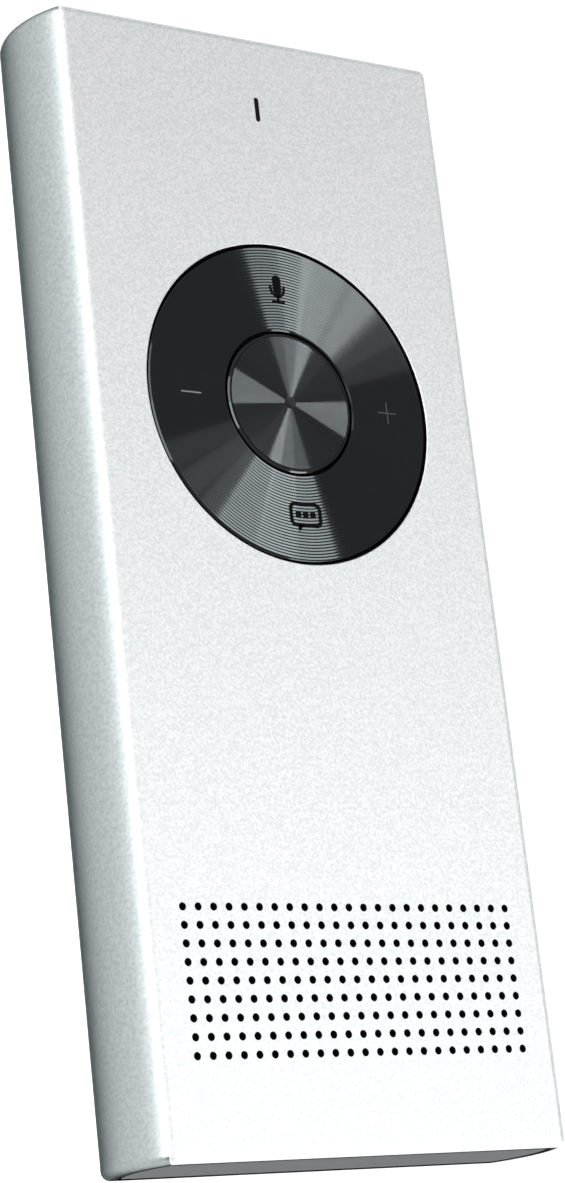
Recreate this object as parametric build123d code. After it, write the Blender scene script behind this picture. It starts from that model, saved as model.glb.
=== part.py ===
from build123d import *
from math import cos, radians, sin, sqrt
import os

# Handheld voice translator: a bow-sided aluminium tube with a tilting thumb dial, a centre button,
# a status window and a speaker grille. It lies on its back: X runs across, +Y points to the top end,
# +Z points out of the face. The origin is the middle of the flat back. All sizes are millimetres.

# ---------------------------------------------------------------- driving dimensions: the tube
body_length = 123.8
body_thickness = 13.4
face_width = 49.12           # flat of the face, measured to the corner it would have unrounded
side_bow = 1.94              # how far the middle of each side stands out past that corner
wall = 1.4
corner_radius = 1.1
inner_corner_radius = 0.4
end_chamfer = 0.37

# the dial, its button, and how they travel
dial_diameter = 36.0
dial_from_top = 43.45
dial_gap = 0.3               # ring to the hole in the face
dial_recess = 0.1            # the ring lies this far under the face
dial_tilt = 1.0              # degrees each way
ring_thickness = 1.0
ring_edge = 0.15
button_diameter = 16.0
button_gap = 0.25
button_travel = 0.25
dimple_diameter = 1.45
dimple_depth = 0.35

# the status window and the grille
window_from_top = 8.95
window_length = 2.9
window_width = 0.6
hole_pitch = 1.86
hole_diameter = 0.85
hole_columns = 23
hole_rows = 9
hole_sides = 6               # flats of each speaker hole, few because there are so many

# the end caps
cap_recess = 0.05
cap_gap = 0.55               # shadow gap round each cap
cap_thickness = 1.6
skirt_wall = 1.0
skirt_length = 3.3
clip_width = 5.0
clip_spacing = 24.0
clip_length = 2.0
hook_length = 0.6
hook_clearance = 0.1

# the carrier under the ring
carrier_thickness = 0.85
carrier_step = 0.3           # the carrier's hub is this much smaller than the ring
flange_overlap = 1.0         # flange past the edge of the hole in the face
flange_room = 0.08           # left over the flange at full tilt both ways
flange_thickness = 0.65
flange_width = 3.8
rib_count = 12
rib_thickness = 0.8
rib_depth = 0.6
lip_thickness = 0.55
button_flange_overlap = 0.65
button_flange_side = 0.5
button_flange_room = 0.2     # left over the flange at full tilt both ways
button_flange_thickness = 0.5
button_hub_step = 0.4
post_gap = 0.7               # from each post to the gimbal round it
post_radius = 1.5
stem_radius = 1.5

# the gimbal between the frame and the carrier
gimbal_gap = 0.7             # gimbal to the lugs outside it
gimbal_width = 2.0
gimbal_thickness = 0.7
gimbal_room = 0.15           # left between flange and gimbal at full tilt
pin_radius = 0.35
pin_clearance = 0.06
pin_end_gap = 0.2
lug_wall = 0.35
lug_width = 2.8
lug_depth = 1.4
saddle_gap = 0.4
saddle_depth = 1.3
saddle_width = 3.0
saddle_above_pin = 0.6

# the keypad board, its domes and its frame
keypad_room = 0.2            # left between gimbal and keypad board at full tilt
keypad_gap = 0.5             # keypad board to the lugs outside it
keypad_thickness = 0.8
dome_radius = 3.0
dome_rest = 0.1              # height of a dome that is pressed flat
dome_crown = 1.4             # radius of a dome's flat top
dome_gap = 0.03
stake_circle = 12.5
stake_radius = 0.6
stake_clearance = 0.05
stake_height = 0.3
frame_thickness = 0.8
frame_margin = 0.3
frame_window_radius = 9.0
frame_leg = 0.7
frame_screw_reach = 11.0     # of each frame screw from the dial's middle, along the body
connector_size = (8.0, 3.0)

# the tray, the board and their screws
tray_side_gap = 0.1
tray_floor = 0.8
rail_width = 1.2
small_round_sides = 8        # flats of the small hidden rounds that repeat
boss_radius = 1.8
boss_reach = 1.5             # boss middle to the rail it grows from
pilot_radius = 0.55
screw_radius = 0.7
screw_head_radius = 1.3
screw_head_height = 0.6
screw_socket_radius = 0.5
screw_socket_depth = 0.3
screw_clearance = 0.1
screw_tip_gap = 0.4
board_thickness = 1.0
board_corner = 1.5
board_gap = 2.35             # speaker cradle to the board's lower edge
board_end_gap = 0.75         # board to the top end cap's skirt
top_screw_inset = 9.0
bottom_screw_inset = 6.0

# the speaker
speaker_length = 40.0
speaker_width = 20.0
speaker_corner = 4.0
cloth_margin = 0.8
cloth_thickness = 0.1
gasket_thickness = 0.9
gasket_width = 2.0
rim_thickness = 1.2
basket_depth = 3.9
basket_taper = 30.0          # degrees
basket_wall = 1.0
diaphragm_inset = 2.6
diaphragm_thickness = 0.4
dust_cap_inset = 6.0
dust_cap_height = 0.3
magnet_size = (22.0, 10.0)
speaker_pad_thickness = 0.8
cradle_gap = 0.1
cradle_lip = 0.6
cradle_ledge = 1.1
cradle_lip_drop = 0.1
cradle_room = 0.1            # cradle to the clips of the bottom end cap
terminal_size = (6.0, 1.2, 0.6)
flex_thickness = 0.2
speaker_flex_width = 5.0
speaker_flex_foot = 2.8      # from the board's edge

# the battery
battery_side_gap = 0.5
battery_above_board_edge = 2.0
battery_length = 52.0
battery_headroom = 0.55
battery_edge = 1.0
pad_thickness = 0.15
pad_margin = 3.0
protection_board_size = (30.0, 3.0, 1.0)
protection_board_gap = 0.2
battery_connector_size = (5.0, 4.0, 2.0)
battery_connector_gap = 4.0
battery_flex_width = 4.0
battery_flex_bend = 0.8

# the top end: socket, microphones, light
usb_width = 8.94
usb_height = 3.26
usb_corner = 1.55
usb_wall = 0.3
usb_length = 7.35
usb_recess = 0.15
usb_clearance = 0.18
usb_tongue = (6.69, 4.45, 0.7)
usb_tab = (1.3, 1.6, 0.3)
mic_spacing = 28.0
mic_size = (3.8, 3.0, 1.1)
mic_boot_size = (5.0, 3.2)
mic_hole_radius = 0.5
led_size = (1.6, 0.8, 0.6)
window_clearance = 0.05
window_recess = 0.08
window_flange = 0.8
window_flange_thickness = 0.5
window_foot_gap = 0.1
window_foot_length = 1.6

# the antenna
antenna_start = 3.0          # from the middle of the cap
antenna_length = 18.0
antenna_reach = 3.4          # past the skirt, over the board
antenna_thickness = 0.2
contact_size = (1.2, 2.0)
contact_gap = 1.2            # from the socket's tab

# the parts on the board
shield_wall = 0.2
shield_edge = 1.2            # from the dial's frame
shield_foot = 4.0            # from the board's lower edge
processor_shield = (-18.0, 8.0, 2.2)     # left side, right side, height
radio_shield = (-18.5, -5.5, 1.8)
radio_shield_edge = 1.0      # from the microphones
chip_height = 0.6
low_chips = [(13.5, 9.0, 8.0, 8.0), (13.0, 16.5, 5.0, 4.0)]   # middle X, from the low edge, sizes
top_chips = [(6.5, 10.5, 4.0, 4.0), (12.5, 10.5, 3.0, 2.5), (12.0, 6.5, 3.2, 2.5)]

# ---------------------------------------------------------------- places worked out from them
half_length = body_length / 2
inner_front = body_thickness - wall
side_radius = ((body_thickness / 2) ** 2 + side_bow ** 2) / (2 * side_bow)
side_middle = face_width / 2 + side_bow - side_radius

dial_y = half_length - dial_from_top
window_y = half_length - window_from_top

ring_radius = dial_diameter / 2
hole_radius = ring_radius + dial_gap
ring_top = body_thickness - dial_recess
ring_bottom = ring_top - ring_thickness
flange_radius = hole_radius + flange_overlap
full_tilt = sin(radians(dial_tilt))
flange_top = inner_front - sqrt(2) * flange_radius * full_tilt - flange_room
flange_bottom = flange_top - flange_thickness
button_radius = button_diameter / 2
button_bore = button_radius + button_gap
lip_bottom = ring_bottom - lip_thickness
button_flange_radius = button_bore + button_flange_overlap
button_well = button_flange_radius + button_flange_side
button_flange_top = lip_bottom - sqrt(2) * button_well * full_tilt - button_flange_room
button_flange_bottom = button_flange_top - button_flange_thickness

lug_inner = flange_radius - lug_depth
gimbal_outer = lug_inner - gimbal_gap
gimbal_inner = gimbal_outer - gimbal_width
post_circle = gimbal_inner - post_gap - post_radius
keypad_radius = lug_inner - keypad_gap
pivot_z = flange_bottom - flange_radius * full_tilt - gimbal_room - gimbal_thickness / 2
bearing_radius = pin_radius + pin_clearance
saddle_inner = flange_radius + saddle_gap
saddle_outer = saddle_inner + saddle_depth

keypad_top = pivot_z - gimbal_thickness / 2 - gimbal_outer * full_tilt - keypad_room
keypad_bottom = keypad_top - keypad_thickness
dome_height = button_travel + dome_rest
dome_top = keypad_top + dome_height
frame_bottom = keypad_bottom - frame_thickness
board_top = frame_bottom - frame_leg
board_bottom = board_top - board_thickness
floor_top = wall + tray_floor

cap_outer = half_length - cap_recess
cap_inner = cap_outer - cap_thickness
tray_end = cap_inner - skirt_length
cradle_half_x = speaker_length / 2 + cradle_gap + cradle_lip
cradle_half_y = speaker_width / 2 + cradle_gap + cradle_lip
grille_y = cradle_half_y + cradle_room + clip_length - tray_end


def half_width(inset):
    """Half the width of the tube's flat, drawn in from the skin by inset."""
    return side_middle + sqrt((side_radius - inset) ** 2 - (body_thickness / 2 - inset) ** 2)


tray_half = half_width(wall) - inner_corner_radius - tray_side_gap
boss_x = tray_half - rail_width - boss_reach
board_low = grille_y + cradle_half_y + board_gap
board_high = tray_end - board_end_gap
board_screw_places = [(side * boss_x, y) for side in (-1, 1)
                      for y in (board_low + bottom_screw_inset, board_high - top_screw_inset)]
frame_screw_places = [(side * boss_x, dial_y + way * frame_screw_reach)
                      for side in (-1, 1) for way in (-1, 1)]

battery_half = boss_x - boss_radius - battery_side_gap
battery_low = board_low + battery_above_board_edge
battery_high = battery_low + battery_length
battery_bottom = floor_top + pad_thickness
battery_top = board_bottom - battery_headroom

cloth_bottom = inner_front - cloth_thickness
rim_top = cloth_bottom - gasket_thickness
rim_bottom = rim_top - rim_thickness
basket_bottom = rim_bottom - basket_depth
magnet_bottom = floor_top + speaker_pad_thickness

usb_z = body_thickness / 2
usb_mouth = cap_outer - usb_recess
usb_back = usb_mouth - usb_length
film_top = body_thickness - wall - cap_gap - skirt_wall
contact_x = usb_width / 2 + usb_tab[0] + contact_gap + contact_size[0] / 2
frame_reach = saddle_outer + frame_margin


# ---------------------------------------------------------------- small helpers
def block(x, y, z):
    """A box between a (low, high) pair along each axis."""
    middle = [(low + high) / 2 for low, high in (x, y, z)]
    size = [high - low for low, high in (x, y, z)]
    return Pos(*middle) * Box(*size)


def block_on(x, y, size, low):
    """A box of the given size round (x, y), standing on the height low."""
    return Pos(x, y, low + size[2] / 2) * Box(*size)


def small_round(radius):
    """A small hidden round, drawn with a few flats."""
    return RegularPolygon(radius, small_round_sides)


def post(x, y, radius, low, high):
    """An upright post between two heights."""
    return upright(Pos(x, y) * small_round(radius), low, high)


def pin_along(direction, start, end, radius):
    """A pin on a tilt axis of the dial, reaching outwards along X or Y from start to end."""
    turn = Rot(0, 90, 0) if direction[0] else Rot(90, 0, 0)
    reach = (start + end) / 2
    place = Pos(direction[0] * reach, dial_y + direction[1] * reach, pivot_z)
    return place * turn * Cylinder(radius, end - start)


def upright(outline, low, high):
    """Extrude an outline drawn flat on XY between two heights."""
    return Pos(0, 0, low) * extrude(outline, high - low)


def section(inset, radius):
    """The tube's bow-sided outline, set in from the skin by inset, with rounded corners."""
    half = half_width(inset)
    reach = side_middle + side_radius - inset
    low, middle, high = inset, body_thickness / 2, body_thickness - inset
    with BuildSketch(Plane.XZ) as outline:
        with BuildLine():
            Line((-half, low), (half, low))
            ThreePointArc((half, low), (reach, middle), (half, high))
            Line((half, high), (-half, high))
            ThreePointArc((-half, high), (-reach, middle), (-half, low))
        make_face()
        fillet(outline.vertices(), radius)
    return outline.sketch


def along_body(outline, low, high):
    """Extrude a cross-section along the body, from Y = low to Y = high."""
    return Pos(0, high, 0) * extrude(outline, high - low)


def round_dial(shape):
    """Move what was drawn round the origin to the dial's middle."""
    return Pos(0, dial_y, 0) * shape


def spun(points):
    """Revolve a closed (radius, height) outline about the dial's axis."""
    profile = make_face(Plane.XZ * Polyline(*points, close=True))
    return round_dial(revolve(profile, Axis.Z))


def four_ways(radius):
    """The four press points of the dial: right, top, left and bottom."""
    return [(radius * cos(radians(turn)), dial_y + radius * sin(radians(turn)))
            for turn in (0, 90, 180, 270)]


def four_diagonals(radius):
    """Four places between the press points."""
    return [(radius * cos(radians(turn)), dial_y + radius * sin(radians(turn)))
            for turn in (45, 135, 225, 315)]


def grouped(shapes):
    """Separate solids that share one node."""
    return Compound([solid for shape in shapes for solid in shape.solids()])


# ---------------------------------------------------------------- tube and end caps
def make_body_extrusion():
    outside = along_body(section(0, corner_radius), -half_length, half_length)
    ends = outside.faces().sort_by(Axis.Y)
    outside = chamfer(ends[0].edges() + ends[-1].edges(), end_chamfer)
    inside = along_body(section(wall, inner_corner_radius), -half_length - wall, half_length + wall)
    tube = outside - inside

    openings = Pos(0, dial_y) * Circle(hole_radius)
    openings += Pos(0, window_y) * Rot(0, 0, 90) * SlotOverall(window_length, window_width)
    grid = GridLocations(hole_pitch, hole_pitch, hole_columns, hole_rows)
    openings += Pos(0, grille_y) * grid * RegularPolygon(hole_diameter / 2, hole_sides)
    return tube - upright(openings, inner_front - wall / 2, body_thickness + wall)


def make_end_cap():
    """The plain cap of the bottom end, drawn at the top end: a plate, a skirt and two clips."""
    outline = section(wall + cap_gap, inner_corner_radius)
    hollow = section(wall + cap_gap + skirt_wall, inner_corner_radius)
    cap = along_body(outline, tray_end, cap_outer) - along_body(hollow, tray_end - wall, cap_inner)
    clip_top = wall + cap_gap + skirt_wall
    for side in (-1, 1):
        x = (side * clip_spacing / 2 - clip_width / 2, side * clip_spacing / 2 + clip_width / 2)
        clip = block(x, (tray_end - clip_length, tray_end + skirt_wall), (floor_top, clip_top))
        hook = block(x, (tray_end - clip_length, tray_end - clip_length + hook_length),
                     (wall + hook_clearance, floor_top))
        cap += clip + hook
    return cap


def make_bottom_end_cap():
    return mirror(make_end_cap(), Plane.XZ)


def make_top_end_cap():
    socket_hole = RectangleRounded(usb_width + 2 * usb_clearance, usb_height + 2 * usb_clearance,
                                   usb_corner + usb_clearance)
    openings = Pos(0, usb_z) * socket_hole
    for side in (-1, 1):
        openings += Pos(side * mic_spacing / 2, usb_z) * small_round(mic_hole_radius)
    return make_end_cap() - along_body(Plane.XZ * openings, cap_inner - wall / 2, cap_outer + wall)


# ---------------------------------------------------------------- tray, boards and screws
def make_chassis_tray():
    tray = block((-tray_half, tray_half), (-tray_end, tray_end), (wall, floor_top))
    for side in (-1, 1):
        rail = sorted((side * tray_half, side * (tray_half - rail_width)))
        tray += block(rail, (-tray_end, tray_end), (floor_top, board_bottom))
    for x, y in board_screw_places + frame_screw_places:
        tray += post(x, y, boss_radius, floor_top, board_bottom)

    lip = RectangleRounded(2 * cradle_half_x, 2 * cradle_half_y, speaker_corner + cradle_lip)
    seat = RectangleRounded(speaker_length + 2 * cradle_gap, speaker_width + 2 * cradle_gap,
                            speaker_corner + cradle_gap)
    well = offset(seat, -cradle_ledge)
    place = Pos(0, grille_y)
    cradle = upright(place * (lip - well), floor_top, rim_bottom)
    cradle += upright(place * (lip - seat), rim_bottom, rim_top - cradle_lip_drop)
    notch_half = terminal_size[0] / 2 + cradle_gap
    terminal_notch = block((-notch_half, notch_half), (grille_y, grille_y + cradle_half_y + wall),
                           (rim_bottom - cradle_gap, body_thickness))
    tray += cradle - terminal_notch

    for x, y in board_screw_places + frame_screw_places:
        tray -= post(x, y, pilot_radius, floor_top, body_thickness)
    for end in (-1, 1):
        slot = sorted((end * (tray_end - clip_length - hook_clearance),
                       end * (tray_end - clip_length + hook_length + hook_clearance)))
        for side in (-1, 1):
            reach = clip_width / 2 + hook_clearance
            x = (side * clip_spacing / 2 - reach, side * clip_spacing / 2 + reach)
            tray -= block(x, slot, (0, floor_top))
    return tray


def make_main_board():
    length = board_high - board_low
    outline = Pos(0, board_low + length / 2) * RectangleRounded(2 * tray_half, length, board_corner)
    notch_width = usb_width + 2 * usb_clearance
    notch_depth = board_high - usb_back + usb_clearance
    outline -= Pos(0, board_high) * Rectangle(notch_width, 2 * notch_depth)
    for x, y in board_screw_places + frame_screw_places:
        outline -= Pos(x, y) * small_round(screw_radius + screw_clearance)
    return upright(outline, board_bottom, board_top)


def shield_can(left, right, low, high, height):
    """A thin steel can, open at the bottom, soldered on the board."""
    can = block((left, right), (low, high), (board_top, board_top + height))
    room = block((left + shield_wall, right - shield_wall), (low + shield_wall, high - shield_wall),
                 (board_top - shield_wall, board_top + height - shield_wall))
    return can - room


def make_shield_cans():
    left, right, height = processor_shield
    processor = shield_can(left, right, board_low + shield_foot, dial_y - frame_reach - shield_edge, height)
    left, right, height = radio_shield
    radio = shield_can(left, right, dial_y + frame_reach + shield_edge,
                       board_high - mic_size[1] - radio_shield_edge, height)
    return grouped([processor, radio])


def make_board_chips():
    low = [block_on(x, board_low + y, (length, width, chip_height), board_top)
           for x, y, length, width in low_chips]
    top = [block_on(x, board_high - y, (length, width, chip_height), board_top)
           for x, y, length, width in top_chips]
    return grouped(low + top)


def screw(x, y, seat):
    """A small socket-head screw whose head rests on the height seat and whose tip is in a boss."""
    shaft = post(x, y, pilot_radius, floor_top + screw_tip_gap, seat)
    head = post(x, y, screw_head_radius, seat, seat + screw_head_height)
    socket = post(x, y, screw_socket_radius, seat + screw_head_height - screw_socket_depth,
                  seat + screw_head_height)
    return shaft + head - socket


def make_board_screws():
    return grouped([screw(x, y, board_top) for x, y in board_screw_places])


def make_frame_screws():
    return grouped([screw(x, y, keypad_bottom) for x, y in frame_screw_places])


# ---------------------------------------------------------------- keypad under the dial
def make_dial_frame():
    plate = Pos(0, dial_y) * Circle(frame_reach)
    half_x = boss_x + boss_radius
    half_y = frame_screw_reach + boss_radius
    plate += Pos(0, dial_y) * RectangleRounded(2 * half_x, 2 * half_y, boss_radius)
    plate -= Pos(0, dial_y) * Circle(frame_window_radius)
    for x, y in frame_screw_places:
        plate -= Pos(x, y) * small_round(screw_radius + screw_clearance)
    frame = upright(plate, frame_bottom, keypad_bottom)
    for x, y in frame_screw_places:
        leg = Pos(x, y) * (small_round(boss_radius) - small_round(screw_radius + screw_clearance))
        frame += upright(leg, board_top, frame_bottom)
    for x, y in four_diagonals(stake_circle):
        frame += post(x, y, stake_radius, keypad_bottom, keypad_top + stake_height)
    for side in (-1, 1):
        x = sorted((side * saddle_inner, side * saddle_outer))
        frame += block(x, (dial_y - saddle_width / 2, dial_y + saddle_width / 2),
                       (keypad_bottom, pivot_z + pin_radius + saddle_above_pin))
        frame -= pin_along((side, 0), saddle_inner - wall, saddle_outer + wall, bearing_radius)
    return frame


def make_keypad_board():
    outline = Pos(0, dial_y) * Circle(keypad_radius)
    for x, y in four_diagonals(stake_circle):
        outline -= Pos(x, y) * small_round(stake_radius + stake_clearance)
    return upright(outline, keypad_bottom, keypad_top)


def make_keypad_connector():
    return block_on(0, dial_y, (*connector_size, keypad_bottom - board_top), board_top)


def dome(x, y):
    """A shallow steel snap dome on the keypad board."""
    return Pos(x, y, keypad_top + dome_height / 2) * Cone(dome_radius, dome_crown, dome_height)


def make_domes_up_down():
    right, top, left, bottom = four_ways(post_circle)
    return grouped([dome(*top), dome(*bottom)])


def make_domes_left_right():
    right, top, left, bottom = four_ways(post_circle)
    return grouped([dome(*right), dome(*left)])


def make_centre_dome():
    return dome(0, dial_y)


def make_gimbal_ring():
    ring = Pos(0, dial_y) * (Circle(gimbal_outer) - Circle(gimbal_inner))
    gimbal = upright(ring, pivot_z - gimbal_thickness / 2, pivot_z + gimbal_thickness / 2)
    root = gimbal_outer - gimbal_width / 2
    for side in (-1, 1):
        gimbal += pin_along((side, 0), root, saddle_outer - pin_end_gap, pin_radius)
        gimbal += pin_along((0, side), root, flange_radius - pin_end_gap, pin_radius)
    return gimbal


# ---------------------------------------------------------------- dial and centre button
def make_dial_ring():
    return spun([(button_bore, ring_bottom), (ring_radius, ring_bottom),
                 (ring_radius, ring_top - ring_edge), (ring_radius - ring_edge, ring_top),
                 (button_bore + ring_edge, ring_top), (button_bore, ring_top - ring_edge)])


def make_dial_carrier():
    hub = ring_radius - carrier_step
    plate_bottom = ring_bottom - carrier_thickness
    rim_inner = flange_radius - flange_width
    wall_outer = button_well + rib_thickness
    carrier = spun([(button_bore, ring_bottom), (hub, ring_bottom), (hub, flange_top),
                    (flange_radius, flange_top), (flange_radius, flange_bottom),
                    (rim_inner, flange_bottom), (rim_inner, plate_bottom), (wall_outer, plate_bottom),
                    (wall_outer, flange_bottom), (button_well, flange_bottom), (button_well, lip_bottom),
                    (button_bore, lip_bottom)])
    for turn in range(rib_count):
        rib = block((wall_outer, rim_inner), (-rib_thickness / 2, rib_thickness / 2),
                    (plate_bottom - rib_depth, plate_bottom))
        carrier += round_dial(Rot(0, 0, (turn + 0.5) * 360 / rib_count) * rib)
    for x, y in four_ways(post_circle):
        carrier += post(x, y, post_radius, dome_top + dome_gap, plate_bottom)
    for side in (-1, 1):
        y = sorted((dial_y + side * lug_inner, dial_y + side * flange_radius))
        carrier += block((-lug_width / 2, lug_width / 2), y,
                         (pivot_z - bearing_radius - lug_wall, flange_bottom))
        carrier -= pin_along((0, side), lug_inner - lug_wall, flange_radius + wall, bearing_radius)
    return carrier


def make_centre_cap():
    return spun([(0, ring_bottom), (button_radius, ring_bottom), (button_radius, ring_top - ring_edge),
                 (button_radius - ring_edge, ring_top), (dimple_diameter / 2, ring_top),
                 (0, ring_top - dimple_depth)])


def make_centre_plunger():
    hub = button_radius - button_hub_step
    return spun([(0, ring_bottom), (hub, ring_bottom), (hub, button_flange_top),
                 (button_flange_radius, button_flange_top), (button_flange_radius, button_flange_bottom),
                 (stem_radius, button_flange_bottom), (stem_radius, dome_top + dome_gap),
                 (0, dome_top + dome_gap)])


# ---------------------------------------------------------------- status window
def make_indicator_lens():
    window = Rot(0, 0, 90) * SlotOverall(window_length - 2 * window_clearance,
                                         window_width - 2 * window_clearance)
    flange = RectangleRounded(window_width + 2 * window_flange, window_length + 2 * window_flange,
                              window_flange)
    flange_low = inner_front - window_flange_thickness
    led_top = board_top + led_size[2]
    lens = upright(Pos(0, window_y) * window, flange_low, body_thickness - window_recess)
    lens += upright(Pos(0, window_y) * flange, flange_low, inner_front)
    foot_y = window_y - window_length / 2 + window_foot_length / 2
    foot = (window_width + window_flange, window_foot_length, flange_low - led_top - window_foot_gap)
    return lens + block_on(0, foot_y, foot, led_top + window_foot_gap)


def make_indicator_led():
    y = window_y - window_length / 2 + window_foot_length / 2
    return block_on(0, y, led_size, board_top)


# ---------------------------------------------------------------- speaker
def speaker_outline(shrink):
    """The speaker's rounded outline, shrunk on every side."""
    return Pos(0, grille_y) * RectangleRounded(speaker_length - 2 * shrink, speaker_width - 2 * shrink,
                                               speaker_corner - shrink / 2)


def make_speaker_cloth():
    length = (hole_columns - 1) * hole_pitch + hole_diameter + 2 * cloth_margin
    width = (hole_rows - 1) * hole_pitch + hole_diameter + 2 * cloth_margin
    return upright(Pos(0, grille_y) * Rectangle(length, width), cloth_bottom, inner_front)


def make_speaker_gasket():
    return upright(speaker_outline(0) - speaker_outline(gasket_width), rim_top, cloth_bottom)


def make_speaker_basket():
    rim = upright(speaker_outline(0) - speaker_outline(diaphragm_inset), rim_bottom, rim_top)
    down = (0, 0, -1)
    outside = extrude(speaker_outline(cradle_ledge + cradle_gap), basket_depth, dir=down,
                      taper=basket_taper)
    inside = extrude(speaker_outline(diaphragm_inset), basket_depth - basket_wall, dir=down,
                     taper=basket_taper)
    bowl = Pos(0, 0, rim_bottom) * (outside - inside)
    terminals = block_on(0, grille_y + speaker_width / 2 + terminal_size[1] / 2, terminal_size, rim_bottom)
    return rim + bowl + terminals


def make_speaker_diaphragm():
    top = rim_top - diaphragm_thickness
    sheet = upright(speaker_outline(diaphragm_inset), top - diaphragm_thickness, top)
    return sheet + upright(speaker_outline(dust_cap_inset), top, top + dust_cap_height)


def make_speaker_magnet():
    length, width = magnet_size
    return block_on(0, grille_y, (length, width, basket_bottom - magnet_bottom), magnet_bottom)


def make_speaker_pad():
    length, width = magnet_size
    return block_on(0, grille_y, (length, width, speaker_pad_thickness), floor_top)


def flex(points, width, bend):
    """A flat flexible strip, lying across X, along straight runs joined by arcs."""
    path = FilletPolyline(*points, radius=bend)
    start = Plane(path @ 0, x_dir=(1, 0, 0), z_dir=path % 0)
    return sweep(start * Rectangle(width, flex_thickness), path)


def make_speaker_flex():
    start = grille_y + speaker_width / 2 + terminal_size[1]
    foot = board_low + speaker_flex_foot
    height = rim_bottom + terminal_size[2] / 2
    points = [(0, start, height), (0, foot, height), (0, foot, board_top)]
    return flex(points, speaker_flex_width, wall)


# ---------------------------------------------------------------- battery
def make_battery():
    cell = block((-battery_half, battery_half), (battery_low, battery_high), (battery_bottom, battery_top))
    return fillet(cell.edges().filter_by(Axis.Y), battery_edge)


def make_battery_pad():
    reach = battery_half - pad_margin
    return block((-reach, reach), (battery_low + pad_margin, battery_high - pad_margin),
                 (floor_top, battery_bottom))


def make_battery_board():
    length, width, height = protection_board_size
    y = battery_high + protection_board_gap + width / 2
    return block_on(0, y, (length, width, height), floor_top)


def make_battery_connector():
    length, width, height = battery_connector_size
    y = battery_high + protection_board_gap + protection_board_size[1] + battery_connector_gap + width / 2
    return block_on(0, y, (length, width, height), board_bottom - height)


def make_battery_flex():
    start = battery_high + protection_board_gap + protection_board_size[1]
    end = start + battery_connector_gap
    middle = (start + end) / 2
    low = floor_top + protection_board_size[2] / 2
    high = board_bottom - battery_connector_size[2] / 2
    points = [(0, start, low), (0, middle, low), (0, middle, high), (0, end, high)]
    return flex(points, battery_flex_width, battery_flex_bend)


# ---------------------------------------------------------------- socket and microphones
def usb_outline(shrink):
    """The socket's rounded outline, shrunk on every side, in the plane of the end caps."""
    return Plane.XZ * Pos(0, usb_z) * RectangleRounded(usb_width - 2 * shrink, usb_height - 2 * shrink,
                                                       usb_corner - shrink)


def make_usb_c_socket():
    shell = along_body(usb_outline(0), usb_back, usb_mouth)
    shell -= along_body(usb_outline(usb_wall), usb_back + usb_wall, usb_mouth + wall)
    for side in (-1, 1):
        x = sorted((side * (usb_width / 2 - usb_wall), side * (usb_width / 2 + usb_tab[0])))
        tab = block(x, (board_high - usb_tab[1], board_high), (board_top, board_top + usb_tab[2]))
        shell += tab - along_body(usb_outline(usb_wall / 2), usb_back, usb_mouth)
    return shell


def make_usb_c_tongue():
    width, length, height = usb_tongue
    base = usb_back + usb_wall
    blade = block((-width / 2, width / 2), (base, base + length),
                  (usb_z - height / 2, usb_z + height / 2))
    root = along_body(usb_outline(usb_wall), base, base + usb_wall * 2)
    return blade + root


def make_microphones():
    y = board_high - mic_size[1] / 2
    return grouped([block_on(side * mic_spacing / 2, y, mic_size, board_top) for side in (-1, 1)])


def make_mic_boots():
    boots = []
    for side in (-1, 1):
        x = side * mic_spacing / 2
        width, height = mic_boot_size
        boot = block((x - width / 2, x + width / 2), (board_high, cap_inner),
                     (usb_z - height / 2, usb_z + height / 2))
        channel = Plane.XZ * Pos(x, usb_z) * small_round(mic_hole_radius)
        boots.append(boot - along_body(channel, board_high - wall, cap_inner + wall))
    return grouped(boots)


# ---------------------------------------------------------------- antenna
def make_antenna_film():
    return block((antenna_start, antenna_start + antenna_length), (tray_end - antenna_reach, cap_inner),
                 (film_top - antenna_thickness, film_top))


def make_antenna_contact():
    length, width = contact_size
    height = film_top - antenna_thickness - board_top
    return block_on(contact_x, board_high - width / 2, (length, width, height), board_top)


# ---------------------------------------------------------------- write every node
pieces = {
    "body_extrusion": make_body_extrusion, "bottom_end_cap": make_bottom_end_cap,
    "top_end_cap": make_top_end_cap, "chassis_tray": make_chassis_tray, "main_board": make_main_board,
    "shield_cans": make_shield_cans, "board_chips": make_board_chips, "board_screws": make_board_screws,
    "frame_screws": make_frame_screws, "dial_frame": make_dial_frame, "keypad_board": make_keypad_board,
    "keypad_connector": make_keypad_connector, "domes_up_down": make_domes_up_down,
    "domes_left_right": make_domes_left_right, "centre_dome": make_centre_dome,
    "gimbal_ring": make_gimbal_ring, "dial_ring": make_dial_ring, "dial_carrier": make_dial_carrier,
    "centre_cap": make_centre_cap, "centre_plunger": make_centre_plunger,
    "indicator_lens": make_indicator_lens, "indicator_led": make_indicator_led,
    "speaker_cloth": make_speaker_cloth, "speaker_gasket": make_speaker_gasket,
    "speaker_basket": make_speaker_basket, "speaker_diaphragm": make_speaker_diaphragm,
    "speaker_magnet": make_speaker_magnet, "speaker_pad": make_speaker_pad,
    "speaker_flex": make_speaker_flex, "battery": make_battery, "battery_pad": make_battery_pad,
    "battery_board": make_battery_board, "battery_connector": make_battery_connector,
    "battery_flex": make_battery_flex, "usb_c_socket": make_usb_c_socket,
    "usb_c_tongue": make_usb_c_tongue, "microphones": make_microphones, "mic_boots": make_mic_boots,
    "antenna_film": make_antenna_film, "antenna_contact": make_antenna_contact,
}

os.makedirs("parts", exist_ok=True)
for node, make in pieces.items():
    export_step(make(), f"parts/{node}.step")
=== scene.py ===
from math import asin, cos, hypot, pi, radians, sin, sqrt, tan

import bmesh
import bpy
from mathutils import Matrix, Vector


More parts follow.
